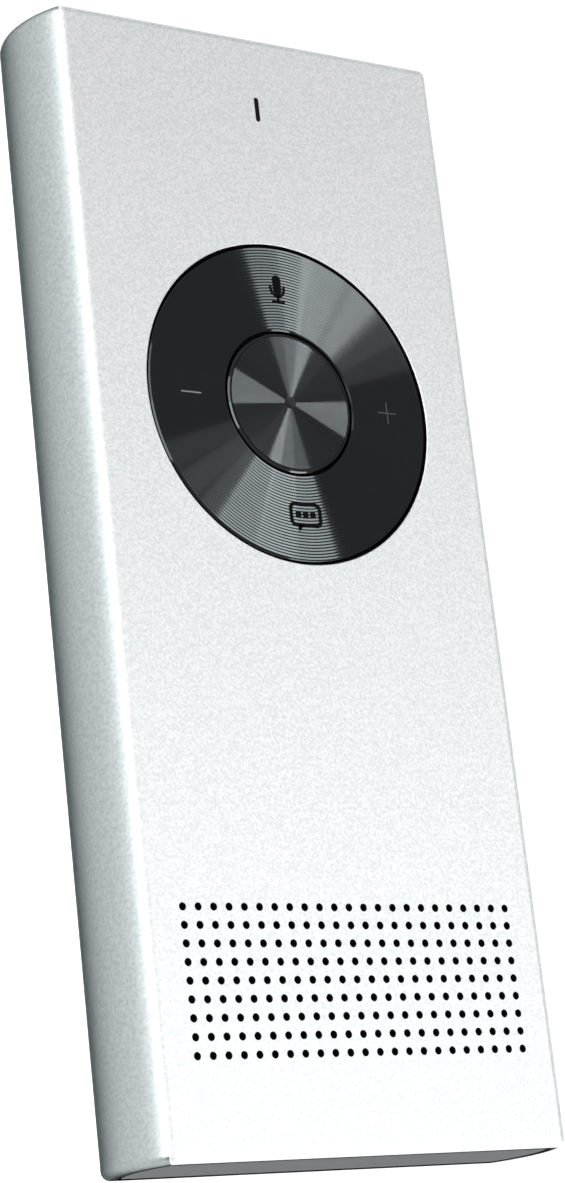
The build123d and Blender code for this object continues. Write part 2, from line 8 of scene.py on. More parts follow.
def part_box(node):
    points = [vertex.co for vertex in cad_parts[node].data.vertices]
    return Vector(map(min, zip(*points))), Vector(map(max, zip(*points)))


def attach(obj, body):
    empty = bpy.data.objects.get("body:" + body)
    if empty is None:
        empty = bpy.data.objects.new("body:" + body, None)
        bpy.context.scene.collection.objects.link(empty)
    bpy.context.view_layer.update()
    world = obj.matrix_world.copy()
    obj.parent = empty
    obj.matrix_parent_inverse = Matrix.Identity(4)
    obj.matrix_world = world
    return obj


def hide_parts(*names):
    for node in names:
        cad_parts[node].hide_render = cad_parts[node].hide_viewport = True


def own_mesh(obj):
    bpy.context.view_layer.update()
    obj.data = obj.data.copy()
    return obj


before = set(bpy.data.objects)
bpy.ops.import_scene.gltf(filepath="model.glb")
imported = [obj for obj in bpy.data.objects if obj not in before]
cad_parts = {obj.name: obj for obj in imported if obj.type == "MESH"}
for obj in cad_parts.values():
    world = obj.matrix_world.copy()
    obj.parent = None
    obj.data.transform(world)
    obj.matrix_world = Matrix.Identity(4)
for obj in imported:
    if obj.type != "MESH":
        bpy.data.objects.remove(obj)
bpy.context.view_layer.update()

# A handheld translator on its back: a bow-sided aluminium tube with a thumb dial, a centre
# button, a status window and a speaker grille. Lengths are metres, and MM turns millimetres
# into them. A slope is height gained per length, and a normal's rise is its share along Z.
MM = 0.001

# ------------------------------------------------ sizes, from the frame where it has them
tube_low, tube_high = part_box("body_extrusion")
thickness = tube_high.z
half_length = tube_high.y
half_wide = tube_high.x
side_bow = 1.94 * MM
side_radius = ((thickness / 2) ** 2 + side_bow**2) / (2 * side_bow)
side_middle = half_wide - side_radius
wall = 1.4 * MM
corner_radius = 1.1 * MM
inner_corner_radius = 0.4 * MM
corner_steps = 8
corner_clearance = 1.6       # room kept for each eased corner, as a share of its bevel
side_rows = 22               # rows of faces up each bowed side
end_round = 1.0 * MM         # rounded edge at each end
end_steps = 8
end_facing = 0.9             # an end's normal points along the tube by more than this
hole_facing = 0.3            # the normal of a hole's wall rises by less than this
satin_shade_rise = 0.7             # the satin skin, drawn darker as painted shade, starts where the outline's normal rises by less
near = 0.01 * MM             # slack when faces are told apart by their place
same_spot = 0.0001 * MM      # points closer than this are one
off_middle = 1e-9            # vertices this far from a slot's middle belong to one half of it

ring_low, ring_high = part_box("dial_ring")
dial_y = (ring_low.y + ring_high.y) / 2
dial_radius = ring_high.x
dial_hole_radius = dial_radius + 0.3 * MM
dial_hole_ease = 0.08 * MM   # broken edge of the hole
ring_top = ring_high.z
ring_bottom = ring_low.z
ring_edge = 0.15 * MM
button_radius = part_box("centre_cap")[1].x
button_bore = button_radius + 0.25 * MM
groove_pitch = 0.34 * MM     # 0.28 mm on the real ring, drawn coarser so that the lines show
groove_slope = 0.36          # rise of a groove's flanks
fine_slope = 0.25            # the button's fine marks have two kinds of flank
coarse_slope = 0.70
round_steps = 180            # steps of a whole turn on the dial

window_y = half_length - 8.95 * MM
window_length = 2.9 * MM
window_width = 0.6 * MM
window_steps = 32

cloth_low, cloth_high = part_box("speaker_cloth")
grille_y = (cloth_low.y + cloth_high.y) / 2
hole_pitch = 1.86 * MM
hole_radius = 0.425 * MM
hole_columns = 23
hole_rows = 9
hole_steps = 20

body_crease = 35             # degrees past which an edge stays sharp
groove_crease = 12


# ------------------------------------------------ modelling by hand
def deselect():
    if bpy.context.mode != "OBJECT":
        bpy.ops.object.mode_set(mode="OBJECT")
    bpy.ops.object.select_all(action="DESELECT")


def take(piece):
    """Make one piece the selected and active one."""
    deselect()
    piece.select_set(True)
    bpy.context.view_layer.objects.active = piece


def edit():
    """Go to edit mode, with every vertex selected."""
    bpy.ops.object.mode_set(mode="EDIT")
    bpy.ops.mesh.select_mode(type="VERT")
    bpy.ops.mesh.select_all(action="SELECT")


def done():
    bpy.ops.object.mode_set(mode="OBJECT")


def pick(kind, test):
    """Select, in edit mode, only the vertices, edges or faces that pass the test."""
    bpy.ops.mesh.select_mode(type=kind)
    bpy.ops.mesh.select_all(action="DESELECT")
    mesh = bmesh.from_edit_mesh(bpy.context.object.data)
    parts = {"VERT": mesh.verts, "EDGE": mesh.edges, "FACE": mesh.faces}[kind]
    for part in parts:
        if test(part):
            part.select_set(True)
    mesh.select_flush_mode()
    bmesh.update_edit_mesh(bpy.context.object.data)


def added(name):
    """The primitive that was just added, named, with its place and size in its mesh."""
    piece = bpy.context.object
    piece.name = name
    bpy.ops.object.transform_apply(location=True, rotation=True, scale=True)
    return piece


def modify(piece, kind, **settings):
    """Add a modifier to a piece, set it and apply it."""
    take(piece)
    modifier = piece.modifiers.new(kind.lower(), kind)
    for name, value in settings.items():
        setattr(modifier, name, value)
    bpy.ops.object.modifier_apply(modifier=modifier.name)


def cut(piece, cutter):
    """Take the cutter's shape out of a piece and delete the cutter."""
    modify(piece, "BOOLEAN", operation="DIFFERENCE", solver="EXACT", object=cutter)
    bpy.data.objects.remove(cutter)


def shade(piece, crease):
    """Smooth shading, sharp at edges that turn by more than crease degrees."""
    take(piece)
    bpy.ops.object.shade_smooth_by_angle(angle=radians(crease))


def smooth(piece):
    """Smooth shading with flat faces kept flat up to their edges."""
    shade(piece, body_crease)
    modify(piece, "WEIGHTED_NORMAL", mode="FACE_AREA", weight=50, keep_sharp=True)


def join(name, pieces):
    deselect()
    for piece in pieces:
        piece.select_set(True)
    bpy.context.view_layer.objects.active = pieces[0]
    if len(pieces) > 1:
        bpy.ops.object.join()
    pieces[0].name = name
    return pieces[0]


def turned(name, profile):
    """A turned piece: a (radius, height) line drawn point by point, then spun round the dial's
    axis. Its grooves stay sharp."""
    deselect()
    radius, height = profile[0]
    bpy.ops.mesh.primitive_plane_add(size=MM, location=(radius, dial_y, height))
    piece = added(name)
    edit()
    bpy.ops.mesh.merge(type="CENTER")
    for (radius, height), (next_radius, next_height) in zip(profile, profile[1:]):
        step = (next_radius - radius, 0, next_height - height)
        bpy.ops.mesh.extrude_vertices_move(TRANSFORM_OT_translate={"value": step})
    bpy.ops.mesh.select_all(action="SELECT")
    bpy.ops.mesh.spin(steps=round_steps, angle=2 * pi, center=(0, dial_y, 0), axis=(0, 0, 1))
    bpy.ops.mesh.select_all(action="SELECT")
    bpy.ops.mesh.remove_doubles(threshold=same_spot)
    bpy.ops.mesh.normals_make_consistent(inside=False)
    done()
    shade(piece, groove_crease)
    return piece


# ------------------------------------------------ materials
def srgb(code):
    """The linear colour of an sRGB hex value."""
    parts = [int(code[at:at + 2], 16) / 255 for at in (0, 2, 4)]
    return (*[c / 12.92 if c <= 0.04045 else ((c + 0.055) / 1.055) ** 2.4 for c in parts], 1)


def add_node(tree, kind, inputs=None, links=None, **settings):
    """Add one shader node with its settings, its input values and its links."""
    made = tree.nodes.new(kind)
    for name, value in settings.items():
        setattr(made, name, value)
    for name, value in (inputs or {}).items():
        made.inputs[name].default_value = value
    for name, source in (links or {}).items():
        tree.links.new(source, made.inputs[name])
    return made


def new_finish(name, **values):
    """A material with one Principled shader. Values are its sockets, with _ for a space."""
    material = bpy.data.materials.new(name)
    material.use_nodes = True
    tree = material.node_tree
    shader = tree.nodes["Principled BSDF"]
    for socket, value in values.items():
        shader.inputs[socket.replace("_", " ")].default_value = value
    return material, tree, shader


def object_place(tree):
    return add_node(tree, "ShaderNodeTexCoord").outputs["Object"]


def colour_spread(tree, shader, factor, dark, light):
    """Let a 0 to 1 factor move the base colour between two hex colours."""
    blend = add_node(tree, "ShaderNodeMix", data_type="RGBA", links={"Factor": factor})
    blend.inputs["A"].default_value = srgb(dark)
    blend.inputs["B"].default_value = srgb(light)
    tree.links.new(blend.outputs["Result"], shader.inputs["Base Color"])


def relief(tree, shader, height, depth):
    """Bump the surface by a 0 to 1 height that stands for a depth in metres."""
    bump = add_node(tree, "ShaderNodeBump", inputs={"Distance": depth, "Strength": 1.0},
                    links={"Height": height})
    tree.links.new(bump.outputs["Normal"], shader.inputs["Normal"])


def grain(tree, size, detail=2.0):
    """Noise whose grains are about that size in metres."""
    return add_node(tree, "ShaderNodeTexNoise", inputs={"Scale": 1 / size, "Detail": detail},
                    links={"Vector": object_place(tree)}).outputs["Fac"]


def specks(tree, size):
    """Grain with its contrast drawn out, from its usual 0.35 to 0.65 to the whole of 0 to 1."""
    return add_node(tree, "ShaderNodeMapRange", inputs={"From Min": 0.35, "From Max": 0.65},
                    links={"Value": grain(tree, size, 4.0)}).outputs["Result"]


def bead_blasted_aluminium():
    # Anodised 6063: a soft silver sheen, with the fine pits of the glass beads. The pits are
    # 0.05 mm on the real tube and are drawn at 0.3 mm so that they show.
    material, tree, shader = new_finish("bead_blasted_aluminium", Metallic=1.0, Roughness=0.6)
    colour_spread(tree, shader, specks(tree, 0.3 * MM), "e7ebec", "fbfdfd")
    relief(tree, shader, grain(tree, 0.3 * MM), 0.02 * MM)
    return material


def satin_shaded_aluminium():
    # The drawn sides of the tube: the same anodising over a smoother skin that mirrors more of the
    # room. Its colour is drawn greyer than the face as painted shade, and its dark edge tint is
    # painted shade that keeps the silhouette grey against a white floor.
    material, tree, shader = new_finish("satin_aluminium_painted_shade", Metallic=1.0,
                                        Roughness=0.31, Specular_Tint=srgb("565b5c"))
    colour_spread(tree, shader, specks(tree, 0.4 * MM), "9aa0a1", "aaafb0")
    relief(tree, shader, grain(tree, 0.3 * MM), 0.008 * MM)
    return material


def shade_painted_wall():
    # The bore, its flat rim and the cut walls of the holes, drawn black as painted shade, so that
    # no light runs out of them.
    material, tree, shader = new_finish("black_wall_painted_shade", Roughness=0.85, IOR=1.3)
    colour_spread(tree, shader, grain(tree, 0.3 * MM), "020202", "060606")
    return material


def black_turned_aluminium(name, dark, light):
    # Black anodised aluminium, turned and bright: the flanks of the modelled grooves show each
    # lamp as a pair of sectors with sharp edges.
    material, tree, shader = new_finish(name, Metallic=1.0, Roughness=0.09)
    colour_spread(tree, shader, grain(tree, 1.5 * MM), dark, light)
    return material


def plastic(name, dark, light, roughness, texture, depth, gloss=0.5):
    # Moulded plastic or silicone with a spark-eroded texture: even colour, a soft wide
    # highlight.
    material, tree, shader = new_finish(name, Roughness=roughness, IOR=1.53,
                                        Specular_IOR_Level=gloss)
    colour_spread(tree, shader, grain(tree, 3 * MM), dark, light)
    relief(tree, shader, grain(tree, texture), depth)
    return material


def smoked_window():
    # Polished smoked polycarbonate: nearly black, with one sharp highlight.
    material, tree, shader = new_finish("smoked_polycarbonate", Roughness=0.08, IOR=1.585,
                                        Specular_IOR_Level=0.3)
    colour_spread(tree, shader, grain(tree, 0.5 * MM), "040506", "08090a")
    return material


def steel(name, roughness, dark, light, pitch):
    # Rolled and stamped steel: fine straight roll marks along Y, one pitch apart.
    material, tree, shader = new_finish(name, Metallic=1.0, Roughness=roughness)
    stretch = add_node(tree, "ShaderNodeMapping", inputs={"Scale": (1, 0.05, 1)},
                       links={"Vector": object_place(tree)})
    marks = add_node(tree, "ShaderNodeTexNoise", inputs={"Scale": 1 / pitch, "Detail": 3.0},
                     links={"Vector": stretch.outputs["Vector"]})
    colour_spread(tree, shader, marks.outputs["Fac"], dark, light)
    relief(tree, shader, marks.outputs["Fac"], 0.002 * MM)
    return material


def solder_mask():
    # Glass-fibre board under green solder mask: tracks show as lighter lines about 0.3 mm wide.
    black, white = (0, 0, 0, 1), (1, 1, 1, 1)
    material, tree, shader = new_finish("solder_mask_board", Roughness=0.35, IOR=1.5,
                                        Coat_Weight=0.4, Coat_Roughness=0.15)
    tracks = add_node(tree, "ShaderNodeTexBrick",
                      inputs={"Scale": 1 / (2.4 * MM), "Mortar Size": 0.12,
                              "Mortar Smooth": 0.2, "Color1": black, "Color2": black,
                              "Mortar": white},
                      links={"Vector": object_place(tree)})
    colour_spread(tree, shader, tracks.outputs["Color"], "0b4a33", "1c6b4a")
    relief(tree, shader, tracks.outputs["Color"], 0.02 * MM)
    return material


def foam():
    # Closed-cell foam: matt black with cells of about 0.3 mm.
    material, tree, shader = new_finish("closed_cell_foam", Roughness=0.95, IOR=1.45)
    cells = add_node(tree, "ShaderNodeTexVoronoi", inputs={"Scale": 1 / (0.3 * MM)},
                     links={"Vector": object_place(tree)}).outputs["Distance"]
    colour_spread(tree, shader, cells, "0c0c0d", "1c1c1e")
    relief(tree, shader, cells, 0.05 * MM)
    return material


def woven_cloth():
    # Black acoustic cloth of plain weave: the threads are modelled, so the finish adds only
    # fibre and sheen.
    material, tree, shader = new_finish("acoustic_cloth", Roughness=0.9, IOR=1.45,
                                        Sheen_Weight=0.15)
    colour_spread(tree, shader, grain(tree, 0.1 * MM), "060606", "101011")
    return material


def pouch_foil():
    # Aluminium laminate of a pouch cell: satin, slightly creased.
    material, tree, shader = new_finish("pouch_foil", Metallic=0.9, Roughness=0.32)
    colour_spread(tree, shader, grain(tree, 8 * MM), "b9bcc0", "d2d4d6")
    relief(tree, shader, grain(tree, 4 * MM, 4.0), 0.15 * MM)
    return material


def polyimide(name, dark, light):
    # Polyimide film over copper: a glossy film through which straight tracks 0.25 mm wide show
    # at 0.6 mm.
    material, tree, shader = new_finish(name, Roughness=0.3, IOR=1.7, Metallic=0.2)
    tracks = add_node(tree, "ShaderNodeTexWave", bands_direction="X",
                      inputs={"Scale": 1 / (1.9 * MM)},
                      links={"Vector": object_place(tree)}).outputs["Fac"]
    colour_spread(tree, shader, tracks, dark, light)
    return material


def ink(name, dark, light, roughness, gloss):
    # Screen-printed ink: a thin even coat, a little duller than the metal.
    material, tree, shader = new_finish(name, Roughness=roughness, IOR=1.5,
                                        Specular_IOR_Level=gloss)
    colour_spread(tree, shader, grain(tree, 0.2 * MM), dark, light)
    return material


def floor_paint():
    # Matt white sweep. It glows for the camera and in what mirrors it, so it is white but for
    # its shadows, and it lights nothing more than matt paint does.
    floor_glow = 0.4
    material, tree, shader = new_finish("matt_white_sweep", Roughness=0.9, IOR=1.3,
                                        Emission_Color=srgb("ffffff"))
    colour_spread(tree, shader, grain(tree, 60 * MM), "ebecec", "eeeeee")
    rays = add_node(tree, "ShaderNodeLightPath").outputs
    seen = rays["Is Camera Ray"]
    for ray in ("Is Glossy Ray", "Is Transmission Ray"):
        either = add_node(tree, "ShaderNodeMath", operation="MAXIMUM")
        tree.links.new(seen, either.inputs[0])
        tree.links.new(rays[ray], either.inputs[1])
        seen = either.outputs["Value"]
    glow = add_node(tree, "ShaderNodeMapRange", inputs={"To Max": floor_glow},
                    links={"Value": seen})
    tree.links.new(glow.outputs["Result"], shader.inputs["Emission Strength"])
    return material


def clad(piece, *materials):
    """Give a piece its materials, in slot order."""
    piece.data.materials.clear()
    for material in materials:
        piece.data.materials.append(material)


# ------------------------------------------------ the tube
def half_width(height, inset):
    """Half the width of the bow-sided outline at a height, drawn in from the skin by inset."""
    return side_middle + sqrt((side_radius - inset) ** 2 - (height - thickness / 2) ** 2)


def bowed_block(name, inset, corner, half_y):
    """A block with the tube's outline: a cube whose sides are cut in rows, bowed out and eased
    at the corners."""
    low, high = inset, thickness - inset
    edge = half_width(low, inset)
    deselect()
    bpy.ops.mesh.primitive_cube_add(size=1, location=(0, 0, (low + high) / 2),
                                    scale=(2 * edge, 2 * half_y, high - low))
    block = added(name)
    turn = pi / 2 - asin((thickness / 2 - inset) / (side_radius - inset))
    bevel = corner * tan(turn / 2)
    margin = corner_clearance * bevel
    row_height = (high - low - 2 * margin) / side_rows
    heights = [low + margin + row_height * row for row in range(side_rows + 1)]
    edit()
    for height in heights:
        bpy.ops.mesh.select_all(action="SELECT")
        bpy.ops.mesh.bisect(plane_co=(0, 0, height), plane_no=(0, 0, 1))
    for height in heights:
        pick("VERT", lambda v: abs(v.co.z - height) < same_spot)
        bpy.ops.transform.resize(value=(half_width(height, inset) / edge, 1, 1),
                                 center_override=(0, 0, 0))

    def long_corner(e):
        at_corner = all(min(abs(v.co.z - low), abs(v.co.z - high)) < same_spot for v in e.verts)
        return at_corner and abs(e.verts[0].co.y - e.verts[1].co.y) > half_y

    pick("EDGE", long_corner)
    bpy.ops.mesh.bevel(offset=bevel, segments=corner_steps, profile=0.5)
    done()
    return block


def round_ends(block):
    take(block)
    edit()
    pick("FACE", lambda f: abs(f.normal.y) > end_facing)
    bpy.ops.mesh.region_to_loop()
    bpy.ops.mesh.bevel(offset=end_round, segments=end_steps, profile=0.5)
    done()


def face_cutter(name, x, y, radius, steps):
    """A round cutter that goes through the face of the tube."""
    low, high = thickness - 2 * wall, thickness + wall
    deselect()
    bpy.ops.mesh.primitive_cylinder_add(vertices=steps, radius=radius, depth=high - low,
                                        location=(x, y, (low + high) / 2))
    return added(name)


def dial_cutter():
    """The dial hole's cutter, which opens out at the face, so that the hole gets a broken edge."""
    cutter = face_cutter("dial_cutter", 0, dial_y, dial_hole_radius, round_steps)
    edit()
    bpy.ops.mesh.bisect(plane_co=(0, 0, thickness - dial_hole_ease), plane_no=(0, 0, 1))
    pick("VERT", lambda v: v.co.z > thickness)
    spread = 1 + (wall + dial_hole_ease) / dial_hole_radius
    bpy.ops.transform.resize(value=(spread, spread, 1), center_override=(0, dial_y, thickness))
    done()
    return cutter


def window_cutter():
    """The window slot's cutter: a round one whose halves are drawn apart."""
    cutter = face_cutter("window_cutter", 0, window_y, window_width / 2, window_steps)
    reach = (window_length - window_width) / 2
    edit()
    for way in (-1, 1):
        pick("VERT", lambda v: way * (v.co.y - window_y) > off_middle)
        bpy.ops.transform.translate(value=(0, way * reach, 0))
    done()
    return cutter


def grille_cutter():
    """One speaker hole's cutter, copied into rows and columns."""
    x = -(hole_columns - 1) * hole_pitch / 2
    y = grille_y - (hole_rows - 1) * hole_pitch / 2
    cutter = face_cutter("grille_cutter", x, y, hole_radius, hole_steps)
    for count, step in ((hole_columns, (hole_pitch, 0, 0)), (hole_rows, (0, hole_pitch, 0))):
        modify(cutter, "ARRAY", count=count, use_relative_offset=False,
               use_constant_offset=True, constant_offset_displace=step)
    return cutter


def make_body(blasted, satin, wall_shade):
    tube = bowed_block("body_tube", 0, corner_radius, half_length)
    round_ends(tube)
    cut(tube, bowed_block("tube_bore", wall, inner_corner_radius, half_length + wall))
    for cutter in (dial_cutter, window_cutter, grille_cutter):
        cut(tube, cutter())
    smooth(tube)
    clad(tube, blasted, satin, wall_shade)
    for face in tube.data.polygons:
        x, y, z = abs(face.center.x), abs(face.center.y), face.center.z
        rise = abs(face.normal.z)
        outline_turn = hypot(face.normal.x, face.normal.z)
        in_bore = (abs(z - thickness / 2) < thickness / 2 - wall + near
                   and x < half_width(z, wall) + near)
        in_hole = (rise < hole_facing and z > thickness - wall - near
                   and y < half_length - end_round - near)
        flat_rim = y > half_length - near
        # The bore, the holes' walls and the flat rim take the near-black wall: painted shade.
        if in_bore or in_hole or flat_rim:
            face.material_index = 2
        # The bowed sides take the satin skin with its painted shade.
        elif rise < satin_shade_rise * outline_turn and x > side_middle:
            face.material_index = 1
    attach(tube, "root")
    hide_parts("body_extrusion")


# ------------------------------------------------ dial and button
def groove_line(start, end, pitch, slopes):
    """The (radius, height) points of V grooves that share the pitch, one groove for each slope
    in turn."""
    count = round((end - start) / pitch)
    flank = (end - start) / count / len(slopes) / 2
    points = [(start, ring_top)]
    for slope in slopes * count:
        radius = points[-1][0]
        points += [(radius + flank, ring_top - slope * flank), (radius + 2 * flank, ring_top)]
    return points


def make_dial_ring(metal):
    ring = turned("turned_dial_ring", [
        (button_bore, ring_bottom),
        (button_bore, ring_top - ring_edge),
        *groove_line(button_bore + ring_edge, dial_radius - ring_edge, groove_pitch,
                     [groove_slope]),
        (dial_radius, ring_top - ring_edge),
        (dial_radius, ring_bottom),
        (button_bore, ring_bottom),
    ])
    clad(ring, metal)
    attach(ring, "dial")
    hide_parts("dial_ring")


def make_button(metal, pit):
    dimple_radius, dimple_depth = 0.72 * MM, 0.35 * MM
    dimple_floor = 0.25 * dimple_radius
    rim = 0.28 * MM              # between the edge and a fine turned line
    line_width, line_depth = 0.1 * MM, 0.12 * MM
    pitch = 0.1 * MM
    base = 0.2 * MM              # faces lower than this belong to the underside
    slack = 0.001 * MM
    line_start = button_radius - ring_edge - rim
    line_end = line_start + line_width
    button = turned("turned_centre_button", [
        (0, ring_top - dimple_depth),
        (dimple_floor, ring_top - dimple_depth),
        *groove_line(dimple_radius, line_start, pitch, [fine_slope, coarse_slope]),
        (line_start, ring_top - line_depth),
        (line_end, ring_top - line_depth),
        (line_end, ring_top),
        (button_radius - ring_edge, ring_top),
        (button_radius, ring_top - ring_edge),
        (button_radius, ring_bottom),
        (0, ring_bottom),
    ])
    clad(button, metal, pit)
    # The dimple and the fine turned line take the near-black pit material: painted shade in these
    # hollows.
    for face in button.data.polygons:
        reach = hypot(face.center.x, face.center.y - dial_y)
        height = face.center.z
        in_line = line_start - slack < reach < line_end + slack and height < ring_top - slack
        if (reach < dimple_radius or in_line) and height > ring_bottom + base:
            face.material_index = 1
    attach(button, "centre_button")
    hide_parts("centre_cap")


# ------------------------------------------------ signs on the dial, placed from its middle
sign_bottom = ring_top - groove_slope * groove_pitch / 2
sign_height = 0.015 * MM + ring_top - sign_bottom
sign_corner_steps = 8
sign_arc_steps = 24


def flat(name, x, y, width, height, round_by=0.0):
    """A flat plate with its middle at (x, y), with rounded corners if round_by is given."""
    deselect()
    bpy.ops.mesh.primitive_plane_add(size=1, location=(x, dial_y + y, sign_bottom))
    bpy.context.object.scale = (width, height, 1)
    plate = added(name)
    if round_by:
        edit()
        bpy.ops.mesh.bevel(affect="VERTICES", offset=round_by, segments=sign_corner_steps)
        done()
    return plate


def flat_arc(name, x, y, radius, width, start, sweep):
    """A flat arc of one stroke width, spun round (x, y)."""
    start_place = (x + radius * cos(start), dial_y + y + radius * sin(start), sign_bottom)
    out = Vector((cos(start), sin(start), 0)) * width
    deselect()
    bpy.ops.mesh.primitive_plane_add(size=MM, location=start_place)
    arc = added(name)
    edit()
    bpy.ops.mesh.merge(type="CENTER")
    bpy.ops.transform.translate(value=-out / 2)
    bpy.ops.mesh.extrude_vertices_move(TRANSFORM_OT_translate={"value": out})
    bpy.ops.mesh.select_all(action="SELECT")
    bpy.ops.mesh.spin(steps=sign_arc_steps, angle=sweep, center=(x, dial_y + y, sign_bottom),
                      axis=(0, 0, -1))
    done()
    return arc


def printed(name, parts, material):
    """Join flat parts into one sign and give it the ink's thickness."""
    sign = join(name, parts)
    edit()
    bpy.ops.mesh.normals_make_consistent(inside=False)
    bpy.ops.mesh.extrude_region_move(TRANSFORM_OT_translate={"value": (0, 0, sign_height)})
    bpy.ops.mesh.select_all(action="SELECT")
    bpy.ops.mesh.normals_make_consistent(inside=False)
    done()
    clad(sign, material)
    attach(sign, "dial")


def make_microphone_sign(black):
    y = 13.1 * MM
    stroke = 0.3 * MM
    cup_radius = 0.88 * MM
    body = flat("mic_body", 0, y + 0.52 * MM, 1.06 * MM, 2.26 * MM, 0.5 * MM)
    cup = flat_arc("mic_cup", 0, y + 0.08 * MM, cup_radius, stroke, pi, pi)
    stem = flat("mic_stem", 0, y - 1.12 * MM, stroke, 0.7 * MM)
    foot = flat("mic_foot", 0, y - 1.5 * MM, 1.66 * MM, stroke)
    arms = [flat("mic_arm", side * cup_radius, y + 0.28 * MM, stroke, 0.4 * MM)
            for side in (-1, 1)]
    printed("microphone_sign", [body, cup, stem, foot, *arms], black)


def make_speech_sign(black):
    """A plain speech bubble with three dots."""
    x, y = 0.36 * MM, -12.7 * MM
    stroke = 0.42 * MM
    dot, dot_pitch = 0.7 * MM, 0.95 * MM
    bubble = flat("bubble", x, y, 4.2 * MM, 2.8 * MM, 0.8 * MM)
    edit()
    bpy.ops.mesh.inset(thickness=stroke)
    bpy.ops.mesh.delete(type="FACE")
    done()
    tail = flat("bubble_tail", x - 0.75 * MM, y - 1.55 * MM, 0.9 * MM, 0.8 * MM)
    edit()
    pick("VERT", lambda v: v.co.y < dial_y + y - 1.6 * MM)
    bpy.ops.mesh.merge(type="CENTER")
    bpy.ops.transform.translate(value=(-0.3 * MM, 0, 0))
    done()
    dots = [flat("bubble_dot", x + at * dot_pitch, y, dot, dot, 0.2 * MM) for at in (-1, 0, 1)]
    printed("speech_sign", [bubble, tail, *dots], black)


def make_volume_signs(light, faint):
    # One print in two copies: the minus drawn lighter as a painted highlight, the plus drawn
    # darker as painted shade.
    stroke = 0.15 * MM
    length = 2.5 * MM
    minus_x, plus_x = -12.8 * MM, 13.0 * MM
    minus = flat("minus", minus_x, 0, length, stroke)
    printed("minus_sign", [minus], light)
    bar = flat("plus_bar", plus_x, 0, length, stroke)
    halves = [flat("plus_post", plus_x, side * (length + stroke) / 4, stroke,
                   (length - stroke) / 2)
              for side in (-1, 1)]
    printed("plus_sign", [bar, *halves], faint)


# ------------------------------------------------ speaker cloth
def make_cloth(material):
    """Plain-weave cloth behind the grille. Each thread rises and dips over the next."""
    thread = 0.45 * MM
    points = 3                   # points along each thread's step
    rise = 0.03 * MM
    width, length = cloth_high.x - cloth_low.x, cloth_high.y - cloth_low.y
    middle = [(low + high) / 2 for low, high in zip(cloth_low, cloth_high)]
    deselect()
    bpy.ops.mesh.primitive_grid_add(x_subdivisions=round(width / thread) * points,
                                    y_subdivisions=round(length / thread) * points,
                                    size=1, location=middle)
    bpy.context.object.scale = (width, length, 1)
    cloth = added("acoustic_cloth")
    for vertex in cloth.data.vertices:
        vertex.co.z += rise * sin(pi * vertex.co.x / thread) * sin(pi * vertex.co.y / thread)
    take(cloth)
    bpy.ops.object.shade_smooth()
    clad(cloth, material)
    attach(cloth, "root")
    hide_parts("speaker_cloth")


# ------------------------------------------------ snap domes
def make_snap_domes(name, node, metal):
    """Steel snap domes in the frame's shape."""
    domes = bpy.data.objects.new(name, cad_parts[node].data.copy())
    bpy.context.scene.collection.objects.link(domes)
    take(domes)
    edit()
    bpy.ops.mesh.remove_doubles(threshold=same_spot)
    done()
    smooth(domes)
    clad(domes, metal)
    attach(domes, "root")
    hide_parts(node)
    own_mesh(domes)


# ------------------------------------------------ stage
camera_place = Vector((-0.203561, -0.093444, 0.289543))
camera_turn = (22.0378, -33.9872, -7.484)
dial_middle = Vector((0, dial_y, ring_top))
front_edge = Vector((0, -half_length, thickness))
lamp_distance = 0.9
floor_size = 30
sky_strength = 0.28


def glint(place, slope, azimuth):
    """The direction whose light a facet at a place, tipped by slope towards azimuth, sends to
    the camera."""
    to_camera = (camera_place - place).normalized()
    turn = radians(azimuth)
    facet = Vector((slope * cos(turn), slope * sin(turn), 1)).normalized()
    return 2 * facet.dot(to_camera) * facet - to_camera


def softbox(name, slopes, azimuths, strength, place=dial_middle):
    """A soft lamp that shows in the facets at a place between two slopes and two azimuths in
    degrees. A strength of 1 is white."""
    near_low, near_high, far_low, far_high = [glint(place, slope, azimuth) * lamp_distance
                                              for azimuth in azimuths for slope in slopes]
    centre = (near_low + near_high + far_low + far_high) / 4
    rising = (near_high - near_low + far_high - far_low) / 2
    turning = (far_low - near_low + far_high - near_high) / 2
    away = centre.normalized()
    side = (turning - away * turning.dot(away)).normalized()
    lamp = bpy.data.lights.new(name, "AREA")
    lamp.shape = "RECTANGLE"
    lamp.size = turning.length
    lamp.size_y = rising.length
    lamp.energy = pi * strength * lamp.size * lamp.size_y
    holder = bpy.data.objects.new(name, lamp)
    bpy.context.scene.collection.objects.link(holder)
    turn = Matrix((side, away.cross(side), away)).transposed()
    holder.matrix_world = Matrix.Translation(place + centre) @ turn.to_4x4()
    holder.visible_camera = False


def graded_softbox(name, slopes, start, end, strengths):
    """Soft lamps side by side from one azimuth to another, each with its own strength."""
    strip = (end - start) / len(strengths)
    for step, strength in enumerate(strengths):
        azimuths = (start + strip * step, start + strip * (step + 1))
        softbox(f"{name}_{step + 1}", slopes, azimuths, strength)


def make_lamps():
    # Lamps that show in the flanks of the dial's and the button's grooves.
    graded_softbox("button_key", (0.19, 0.29), 282.5, 240, (3.0, 5.0, 8.5))
    graded_softbox("upper_key", (0.29, 0.36), 282, 222, (3.7, 5.6, 4.0, 3.2))
    graded_softbox("lower_key", (0.36, 0.45), 283, 232, (5.1, 6.6, 5.2))
    graded_softbox("far_key", (0.36, 0.44), 42, 80, (2.4, 3.4))
    graded_softbox("left_key", (0.27, 0.45), 233, 199, (1.2, 0.9, 0.5))
    softbox("back_softbox", (0.64, 0.76), (154, 186), 4.3)
    # Lamps that show in the tube's bowed side and along its rounded edges.
    softbox("edge_softbox", (1.25, 1.7), (158, 200), 3.4)
    graded_softbox("side_softbox", (1.0, 2.2), 166, 206, (1.8, 3.0))
    softbox("front_card", (0.55, 1.05), (260, 280), 4.0, front_edge)
    softbox("corner_card", (1.0, 1.7), (215, 245), 1.2, front_edge)


